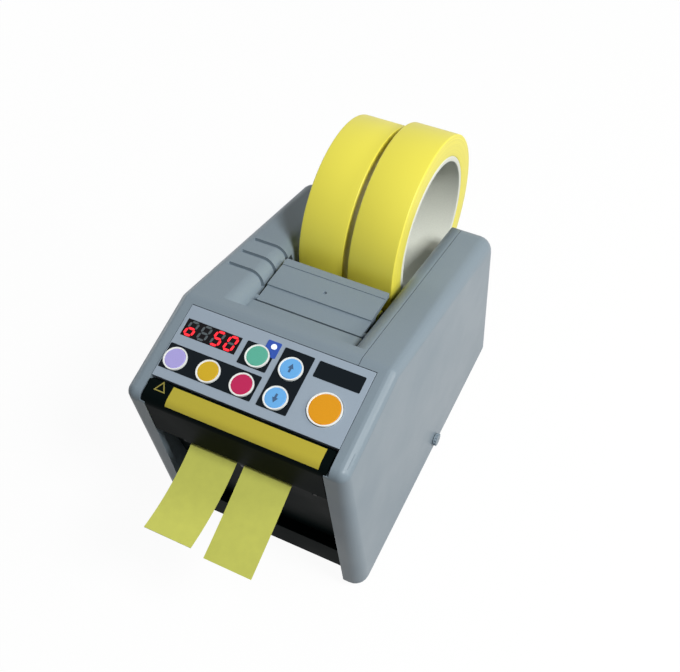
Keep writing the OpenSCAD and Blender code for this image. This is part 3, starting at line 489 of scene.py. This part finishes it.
def block(low, high):
    """Box between two corners, ready for edit mode."""
    begin()
    low, high = Vector(low), Vector(high)
    bpy.ops.mesh.primitive_cube_add(size=1, location=(low + high) / 2)
    piece = bpy.context.object
    piece.scale = high - low
    set_down()
    return piece


def rounded_plate(low, high, corner, steps=5):
    """Flat plate with its upright edges rounded."""
    piece = block(low, high)
    pick(piece, "EDGE", lambda e: abs(e.verts[0].co.z - e.verts[1].co.z) > 0.5 * (high[2] - low[2]))
    bpy.ops.mesh.bevel(offset=corner, offset_type="OFFSET", segments=steps, affect="EDGES")
    bpy.ops.object.mode_set(mode="OBJECT")
    return piece


def disc(x, y, low, high, radius, sides=64):
    """Upright round block, used as a cutter or as the start of a print."""
    begin()
    bpy.ops.mesh.primitive_cylinder_add(vertices=sides, radius=radius, depth=high - low,
                                        location=(x, y, (low + high) / 2))
    piece = bpy.context.object
    set_down()
    return piece


def triangle(middle, radius, low, high):
    """Upright three-sided block that points away from the nose."""
    return disc(*middle, low, high, radius, sides=3)


def cut(piece, cutter):
    """Takes one solid out of another."""
    take(piece)
    made = piece.modifiers.new("cut", "BOOLEAN")
    made.operation = "DIFFERENCE"
    made.solver = "EXACT"
    made.object = cutter
    bpy.ops.object.modifier_apply(modifier=made.name)
    bpy.data.objects.remove(cutter)


def hole(piece, middle, radius):
    """Cuts a round hole through a print."""
    cut(piece, disc(*middle, -CUT_REACH, CUT_REACH, radius))


def joined(pieces):
    """One object from several."""
    begin()
    for piece in pieces:
        piece.select_set(True)
    bpy.context.view_layer.objects.active = pieces[0]
    bpy.ops.object.join()
    return bpy.context.object


def ring(centre, outer, inner, low_x, high_x, ease, sides=192):
    """Ring about an axis along X, its rims rounded."""
    begin()
    bpy.ops.mesh.primitive_cylinder_add(vertices=sides, radius=outer, depth=high_x - low_x,
                                        location=((low_x + high_x) / 2, centre.y, centre.z),
                                        rotation=(0, math.pi / 2, 0))
    piece = bpy.context.object
    set_down()
    pick(piece, "FACE", lambda f: abs(f.normal.x) > 0.9)
    bpy.ops.mesh.inset(thickness=outer - inner)
    bpy.ops.mesh.bridge_edge_loops()
    bpy.ops.mesh.select_all(action="SELECT")
    bpy.ops.mesh.normals_make_consistent(inside=False)
    pick(piece, "EDGE", lambda e: len(e.link_faces) == 2
         and abs(abs(e.link_faces[0].normal.x) - abs(e.link_faces[1].normal.x)) > 0.5)
    bpy.ops.mesh.bevel(offset=ease, segments=4, affect="EDGES")
    bpy.ops.object.mode_set(mode="OBJECT")
    return piece


def ribbon(path, low_x, high_x, thickness):
    """Flat band that follows a path in the side view, extruded step by step and given its thickness."""
    begin()
    first, second = path[0], path[1]
    step = second - first
    bpy.ops.mesh.primitive_plane_add(size=1, location=((low_x + high_x) / 2, *((first + second) / 2)),
                                     rotation=(math.atan2(step.y, step.x), 0, 0))
    piece = bpy.context.object
    piece.scale = (high_x - low_x, step.length, 1)
    set_down()
    pick(piece, "EDGE", lambda e: all((Vector(v.co.yz) - second).length < step.length / 4 for v in e.verts))
    for here, there in zip(path[1:], path[2:]):
        bpy.ops.mesh.extrude_region_move(TRANSFORM_OT_translate={"value": (0, *(there - here))})
    bpy.ops.mesh.select_all(action="SELECT")
    bpy.ops.mesh.normals_make_consistent(inside=False)
    bpy.ops.object.mode_set(mode="OBJECT")
    wall = piece.modifiers.new("thickness", "SOLIDIFY")
    wall.thickness = thickness
    wall.offset = 0
    bpy.ops.object.modifier_apply(modifier=wall.name)
    return piece


def display_bar(flat, low, high):
    """One bar of a digit at the middle of the panel's frame, lying flat or standing."""
    size = sizes()
    half = size.digit_w / 2 if flat else size.digit_h / 4
    half -= BAR_INSET * size.segment
    wide = size.segment / 2
    piece = rounded_plate((-half, -wide, low), (half, wide, high), BAR_POINT * wide, steps=1)
    if not flat:
        piece.rotation_euler = (0, 0, math.pi / 2)
    return piece


def meets(low, high, middle, radius):
    """Whether a key reaches into a rectangle of the panel."""
    return all(start < at + radius and at - radius < end for start, end, at in zip(low, high, middle))


def smooth_shading():
    """Node group that shades a piece smooth, because the CAD nodes' own meshes stay untouched."""
    name = "smooth shading"
    if name in bpy.data.node_groups:
        return bpy.data.node_groups[name]
    group = bpy.data.node_groups.new(name, "GeometryNodeTree")
    for way in ("INPUT", "OUTPUT"):
        group.interface.new_socket("Geometry", in_out=way, socket_type="NodeSocketGeometry")
    whole = add(group, "NodeGroupInput").outputs["Geometry"]
    smooth = add(group, "GeometryNodeSetShadeSmooth", {"Geometry": whole}).outputs["Geometry"]
    add(group, "NodeGroupOutput", {"Geometry": smooth})
    return group


def ease_edges(piece, width):
    """Rounds a CAD node's sharp edges with modifiers."""
    smooth = piece.modifiers.new("smooth shading", "NODES")
    smooth.node_group = smooth_shading()
    weld = piece.modifiers.new("weld", "WELD")
    weld.merge_threshold = WELD_GAP * MM
    flat = piece.modifiers.new("flat faces", "DECIMATE")
    flat.decimate_type = "DISSOLVE"
    flat.angle_limit = math.radians(FLAT_ANGLE)
    bevel = piece.modifiers.new("eased edges", "BEVEL")
    bevel.width = width
    bevel.segments = 2
    bevel.limit_method = "ANGLE"
    bevel.angle_limit = math.radians(SHARP_ANGLE)
    # Large flat faces keep their own normals, so that the rounded corners shade smoothly into them
    shading = piece.modifiers.new("even shading", "WEIGHTED_NORMAL")
    shading.weight = FACE_WEIGHT


def dress(names, finish, ease=None):
    """Gives CAD nodes their finish, and rounds their sharp edges where a width is given."""
    for name in names:
        piece = NODES[name]
        piece.data.materials.clear()
        piece.data.materials.append(finish)
        if ease:
            ease_edges(piece, ease)


# Stage

def seen_directly(tree):
    """1 where the background is seen, also in a mirror or a glass, and 0 where it lights the object."""
    path = add(tree, "ShaderNodeLightPath").outputs
    kinds = (path["Is Camera Ray"], path["Is Glossy Ray"], path["Is Transmission Ray"])
    seen = add(tree, "ShaderNodeMath", {0: kinds[0], 1: kinds[1]}, operation="MAXIMUM").outputs["Value"]
    return add(tree, "ShaderNodeMath", {0: seen, 1: kinds[2]}, operation="MAXIMUM").outputs["Value"]


def pale_floor():
    """Floor that looks nearly white and keeps the object's shadow."""
    begin()
    bpy.ops.mesh.primitive_plane_add(size=FLOOR_W, location=(0, 0, 0))
    floor = bpy.context.object
    floor.name = "floor"
    made, tree, shader, _ = new_finish("pale studio floor")
    shader.inputs["Base Color"].default_value = linear(FLOOR_GREY)
    shader.inputs["Roughness"].default_value = 0.9
    share = add(tree, "ShaderNodeMath", {0: seen_directly(tree), 1: WHITE_SHARE}, operation="MULTIPLY")
    white = add(tree, "ShaderNodeEmission", {"Color": (1, 1, 1, 1), "Strength": WHITE_STRENGTH})
    mixed = add(tree, "ShaderNodeMixShader", {"Fac": share.outputs["Value"], 1: shader.outputs["BSDF"],
                                              2: white.outputs["Emission"]})
    tree.links.new(mixed.outputs["Shader"], tree.nodes["Material Output"].inputs["Surface"])
    floor.data.materials.append(made)


def studio_sky(scene):
    """Sky that looks white and lights the object only a little."""
    world = bpy.data.worlds.new("studio")
    scene.world = world
    world.use_nodes = True
    tree = world.node_tree
    strength = add(tree, "ShaderNodeMapRange", {"Value": seen_directly(tree), "To Min": SKY_LIGHT,
                                                "To Max": SKY_SEEN})
    sky = tree.nodes["Background"]
    sky.inputs["Color"].default_value = SKY_COLOUR
    tree.links.new(strength.outputs["Result"], sky.inputs["Strength"])


def softbox(scene, name, at, width, power, hue):
    """Square lamp that points at the object."""
    lamp = bpy.data.lights.new(name, "AREA")
    lamp.size = width
    lamp.energy = power
    lamp.color = hue
    holder = bpy.data.objects.new(name, lamp)
    scene.collection.objects.link(holder)
    aim = LAMP_TARGET - Vector(at)
    holder.matrix_world = Matrix.Translation(at) @ aim.to_track_quat("-Z", "Y").to_matrix().to_4x4()


def fitted_camera(scene):
    """Camera that sees the object as the photograph does."""
    turn = math.radians(CAMERA_TURN)
    rise = math.radians(CAMERA_RISE)
    roll = math.radians(CAMERA_ROLL)
    back = Vector((math.sin(turn) * math.cos(rise), -math.cos(turn) * math.cos(rise), math.sin(rise)))
    right = Vector((math.cos(turn), math.sin(turn), 0))
    up = back.cross(right)
    across = math.cos(roll) * right + math.sin(roll) * up
    upright = -math.sin(roll) * right + math.cos(roll) * up
    lens = bpy.data.cameras.new("camera")
    lens.sensor_width = SENSOR_W
    lens.sensor_fit = "HORIZONTAL"
    lens.lens = FOCAL_LENGTH / IMAGE_W * SENSOR_W
    lens.clip_start = CAMERA_NEAR * MM
    eye = bpy.data.objects.new("camera", lens)
    scene.collection.objects.link(eye)
    pose = Matrix((across, upright, back)).transposed().to_4x4()
    pose.translation = CAMERA_TARGET * MM + back * CAMERA_DISTANCE * MM
    eye.matrix_world = pose
    scene.camera = eye


# Operators

class DISPENSER_OT_stage(bpy.types.Operator):
    """Pale floor, soft studio light and the camera"""
    bl_idname = "dispenser.stage"
    bl_label = "Stage"

    def execute(self, context):
        scene = context.scene
        pale_floor()
        studio_sky(scene)
        for name, (at, width, power, hue) in LAMPS.items():
            softbox(scene, name, at, width, power, hue)
        fitted_camera(scene)
        scene.view_settings.view_transform = "Standard"
        return {"FINISHED"}


class DISPENSER_OT_mouldings(bpy.types.Operator):
    """Grey housing, side cover, guide flap, thumbscrew and panel"""
    bl_idname = "dispenser.mouldings"
    bl_label = "Grey mouldings"

    def execute(self, context):
        finish = moulded_abs("grey ABS, spark-eroded", colours().body, roughness=0.38, gloss=0.22)
        dress(("main_housing", "right_side_cover", "guide_flap"), finish, sizes().edge)
        dress(("cover_thumbscrew",), finish)
        overlay = printed_film("grey overlay film", colours().panel, roughness=0.42)
        dress(("control_panel",), overlay, sizes().panel_edge)
        return {"FINISHED"}


class DISPENSER_OT_black_covers(bpy.types.Operator):
    """Black safety cover, lower front, outlet, rear fittings and base"""
    bl_idname = "dispenser.black_covers"
    bl_label = "Black covers"

    def execute(self, context):
        ease = sizes().cover_edge
        black = moulded_abs("black ABS, satin", colours().black, roughness=0.55, gloss=0.02)
        dress(("safety_cover", "lower_front_cover", "outlet_lip", "power_switch_frame", "power_jack"),
              black, ease)
        charcoal = moulded_abs("charcoal ABS, satin", linear("2a2d31"), roughness=0.45)
        dress(("rear_panel", "power_rocker"), charcoal, ease)
        coat = moulded_abs("black powder coat", linear("060a0a"), roughness=0.6, grain_mm=0.8, grain=0.25,
                           gloss=0.03)
        dress(("base_plate",), coat)
        rubber = moulded_abs("black rubber", linear("202122"), roughness=0.75, grain_mm=1.0, grain=0.2)
        dress(("rubber_feet",), rubber)
        return {"FINISHED"}


class DISPENSER_OT_label(bpy.types.Operator):
    """Bare yellow label that bends over the safety cover's nose, and the triangle beside it"""
    bl_idname = "dispenser.label"
    bl_label = "Label"

    def execute(self, context):
        size = sizes()
        # The cover's rounding starts where its flat top ends
        start = size.nose_r * math.tan(math.radians((90 - PANEL_SLOPE + FRONT_LEAN) / 2))
        flat = size.label_end - start
        outer = size.nose_r + size.label_rise
        path = [Vector((size.label_end - i * flat / LABEL_STEPS, size.label_rise))
                for i in range(LABEL_STEPS + 1)]
        for i in range(1, LABEL_STEPS + 1):
            turn = math.radians(i * LABEL_BEND / LABEL_STEPS)
            path.append(Vector((start - outer * math.sin(turn), outer * math.cos(turn) - size.nose_r)))
        left, right = LABEL_ENDS
        piece = ribbon(path, left * MM, right * MM, size.label_film)
        vinyl = printed_film("yellow vinyl label", colours().label, roughness=0.4)
        settle(piece, "label", "safety_cover", vinyl, PANEL)
        sign = triangle(SIGN_AT * MM, size.sign_outer, size.film_gap, size.sign_film)
        cut(sign, triangle(SIGN_AT * MM, size.sign_inner, -CUT_REACH, CUT_REACH))
        sign_ink = printed_film("yellow sign print", linear("8f8434"))
        settle(sign, "warning_triangle", "safety_cover", sign_ink, PANEL)
        return {"FINISHED"}


class DISPENSER_OT_panel_fields(bpy.types.Operator):
    """Dark printed fields round the keys, the bare badge and the blue square"""
    bl_idname = "dispenser.panel_fields"
    bl_label = "Panel prints"

    def execute(self, context):
        size = sizes()
        dark = printed_film("navy screen print", colours().field, gloss=0.08)
        blue = printed_film("blue screen print", colours().blue)
        for name, (low, high) in PRINTS.items():
            on_status = name == "status_field"
            top = size.status_film if on_status else size.film
            piece = rounded_plate((*(Vector(low) * MM), size.film_gap), (*(Vector(high) * MM), top),
                                  size.film_corner)
            for x, y, radius, _ in KEYS.values():
                if meets(low, high, (x, y), radius):
                    hole(piece, (x * MM, y * MM), radius * MM + size.key_gap)
            if on_status:
                hole(piece, STATUS_AT * MM, size.status_hole)
            settle(piece, name, "chassis", blue if on_status else dark, PANEL)
        return {"FINISHED"}


class DISPENSER_OT_keys(bpy.types.Operator):
    """Coloured key caps with their white rings, and plain arrows on two of them"""
    bl_idname = "dispenser.keys"
    bl_label = "Keys"

    def execute(self, context):
        size = sizes()
        for name, (x, y, radius, code) in KEYS.items():
            centre = PANEL @ (Vector((x, y, KEY_TOP)) * MM)
            finish = key_cap("printed cap, " + name[4:], linear(code), centre, radius * MM - size.key_ring)
            dress((name,), finish)
        ink = printed_film("dark sign print", linear("34587f"))
        low, high = (level * MM for level in KEY_SIGN)
        half = Vector((size.stem_w, size.stem_l)) / 2
        for name, way in (("key_up", 1), ("key_down", -1)):
            x, y, _, _ = KEYS[name]
            middle = Vector((x, y)) * MM
            shift = Vector((0, way * size.arrow_shift))
            head = disc(0, 0, low, high, size.arrow_head, sides=3)
            head.location = (*(middle + shift), 0)
            head.rotation_euler = (0, 0, 0 if way > 0 else math.pi)
            foot = middle - shift
            stem = rounded_plate((*(foot - half), low), (*(foot + half), high), size.stem_corner, steps=2)
            settle(joined([stem, head]), name + "_sign", name, ink, PANEL)
        return {"FINISHED"}


class DISPENSER_OT_display(bpy.types.Operator):
    """Display window, its digits and the status light"""
    bl_idname = "dispenser.display"
    bl_label = "Display"

    def execute(self, context):
        size = sizes()
        dress(("display_window",),
              printed_film("smoked acrylic window", linear("0c080b"), roughness=0.15, gloss=0.1))
        dress(("display_module", "tact_switches", "cover_switch", "tape_sensor"),
              moulded_abs("black thermoplastic", linear("1a1c1e"), roughness=0.5, gloss=0.15))
        dress(("status_lens",), light_segment("clear light lens", linear("dfe8ff"), strength=0.6))
        low, high = (level * MM for level in BAR_LEVELS)
        lean = Matrix.Identity(4)
        lean[0][1] = math.tan(math.radians(DIGIT_LEAN))
        lit, unlit = [], []
        for i, on in enumerate(LIT_BARS):
            across = (i - (len(LIT_BARS) - 1) / 2) * size.digit_pitch
            middle = Vector((DISPLAY_AT.x * MM + across, DISPLAY_AT.y * MM, 0))
            for bar, (half_w, quarter_h, flat) in BARS.items():
                piece = display_bar(flat, low, high)
                piece.location = (half_w * size.digit_w / 2, quarter_h * size.digit_h / 4, 0)
                take(piece)
                set_down()
                piece.data.transform(Matrix.Translation(middle) @ lean)
                (lit if bar in on else unlit).append(piece)
        for name, pieces, finish in (
                ("lit_segments", lit, light_segment("red lit segment", colours().lit, strength=1.1)),
                ("unlit_segments", unlit, light_segment("unlit segment", colours().unlit, strength=0.0))):
            settle(joined(pieces), name, "chassis", finish, PANEL)
        return {"FINISHED"}


class DISPENSER_OT_tape_rolls(bpy.types.Operator):
    """Two wound rolls on their cores"""
    bl_idname = "dispenser.tape_rolls"
    bl_label = "Tape rolls"

    def execute(self, context):
        size = sizes()
        core_finish = moulded_abs("white core, moulded", colours().core, roughness=0.55, grain_mm=0.8,
                                  grain=0.1)
        for side in ("left", "right"):
            low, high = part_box(side + "_tape_roll")
            core_low, core_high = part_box(side + "_tape_core")
            centre = (low + high) / 2
            outer = (high.z - low.z) / 2
            core = (core_high.z - core_low.z) / 2
            roll = ring(centre, outer, core, low.x, high.x, size.tape_ease)
            settle(roll, side + "_wound_tape", side + "_roll",
                   wound_tape(side + " wound film tape", colours().backing, centre))
            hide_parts(side + "_tape_roll")
            tube = ring(centre, core, core - size.core_wall, low.x + size.core_inset, high.x, size.core_ease)
            settle(tube, side + "_core", side + "_roll", core_finish)
            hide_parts(side + "_tape_core")
        return {"FINISHED"}


class DISPENSER_OT_tape_strips(bpy.types.Operator):
    """Strips that stand out of the outlet, and the webs behind the blade"""
    bl_idname = "dispenser.tape_strips"
    bl_label = "Tape strips"

    def execute(self, context):
        finish = tape_film("film tape, adhesive side", colours().adhesive)
        dress(("left_tape_web", "right_tape_web"), finish)
        for side, (droop, sag) in STRIP_CURL.items():
            low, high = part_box(side + "_strip")
            path = [Vector((STRIP_ROOT * (1 - i / ROOT_STEPS), STRIP_LIFT)) for i in range(ROOT_STEPS)]
            for t in (i / REACH_STEPS for i in range(REACH_STEPS + 1)):
                path.append(Vector((-STRIP_REACH * t, STRIP_LIFT - droop * t - 4 * sag * t * (1 - t))))
            piece = ribbon([p * MM for p in path], low.x, high.x, sizes().strip)
            settle(piece, side + "_cut_strip", "chassis", finish, DECK)
            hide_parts(side + "_strip")
        return {"FINISHED"}


class DISPENSER_OT_works(bpy.types.Operator):
    """Frame plates, cutter, feed rollers, gears, motors and electronics"""
    bl_idname = "dispenser.works"
    bl_label = "Works"

    def execute(self, context):
        dress(("left_frame_plate", "right_frame_plate"),
              moulded_abs("black coat on steel", linear("0e1011"), roughness=0.55, grain_mm=0.8, grain=0.15,
                          gloss=0.1))
        dress(("feed_deck", "cutter_motor_plate", "cutter_yoke"),
              metal("zinc-plated sheet steel", linear("b4b9be"), roughness=0.4))
        dress(("fixed_blade", "moving_blade"),
              metal("ground tool steel", linear("d2d6da"), roughness=0.22, streak=(0.1, 1, 1), mark_mm=0.6))
        dress(("blade_screws",), metal("black oxide steel", linear("15171a"), roughness=0.5))
        dress(("feed_shaft", "crank_disc", "board_screws", "chassis_screws"),
              metal("turned bright steel", linear("cdd1d6"), roughness=0.28, streak=(1, 0.2, 0.2),
                    mark_mm=0.8))
        dress(("feed_bushes", "motor_pinion"),
              metal("sintered brass", linear("c9a45c"), roughness=0.4, mark_mm=1.0))
        dress(("feed_motor", "cutter_motor"),
              metal("drawn motor can", linear("6a7076"), roughness=0.38, streak=(0.3, 1, 1), mark_mm=2.0))
        dress(("feed_gear",), moulded_abs("white acetal gear", linear("e4e0d4"), roughness=0.4))
        dress(("feed_roller_sleeve",),
              moulded_abs("ground roller rubber", linear("35383d"), roughness=0.7, grain_mm=0.8, grain=0.2))
        dress(("pinch_roller", "entry_roller", "hold_down_roller", "front_support_roller",
               "rear_support_roller"),
              moulded_abs("turned grey nylon", linear("3a3d42"), roughness=0.45))
        dress(("control_board",), circuit_board("lacquered circuit board"))
        return {"FINISHED"}


OPERATORS = (
    DISPENSER_OT_stage,
    DISPENSER_OT_mouldings,
    DISPENSER_OT_black_covers,
    DISPENSER_OT_label,
    DISPENSER_OT_panel_fields,
    DISPENSER_OT_keys,
    DISPENSER_OT_display,
    DISPENSER_OT_tape_rolls,
    DISPENSER_OT_tape_strips,
    DISPENSER_OT_works,
)


class DISPENSER_PT_panel(bpy.types.Panel):
    """Sidebar panel that lists the steps"""
    bl_idname = "DISPENSER_PT_panel"
    bl_label = "Tape dispenser"
    bl_space_type = "VIEW_3D"
    bl_region_type = "UI"
    bl_category = "Dispenser"

    def draw(self, context):
        for step in OPERATORS:
            self.layout.operator(step.bl_idname)


CLASSES = (DispenserSizes, DispenserColours, *OPERATORS, DISPENSER_PT_panel)


def register():
    for made in CLASSES:
        bpy.utils.register_class(made)
    bpy.types.Scene.dispenser_sizes = PointerProperty(type=DispenserSizes)
    bpy.types.Scene.dispenser_colours = PointerProperty(type=DispenserColours)


def unregister():
    del bpy.types.Scene.dispenser_colours
    del bpy.types.Scene.dispenser_sizes
    for made in reversed(CLASSES):
        bpy.utils.unregister_class(made)


def main():
    register()
    for step in OPERATORS:
        group, name = step.bl_idname.split(".")
        getattr(getattr(bpy.ops, group), name)()


if __name__ == "__main__":
    main()
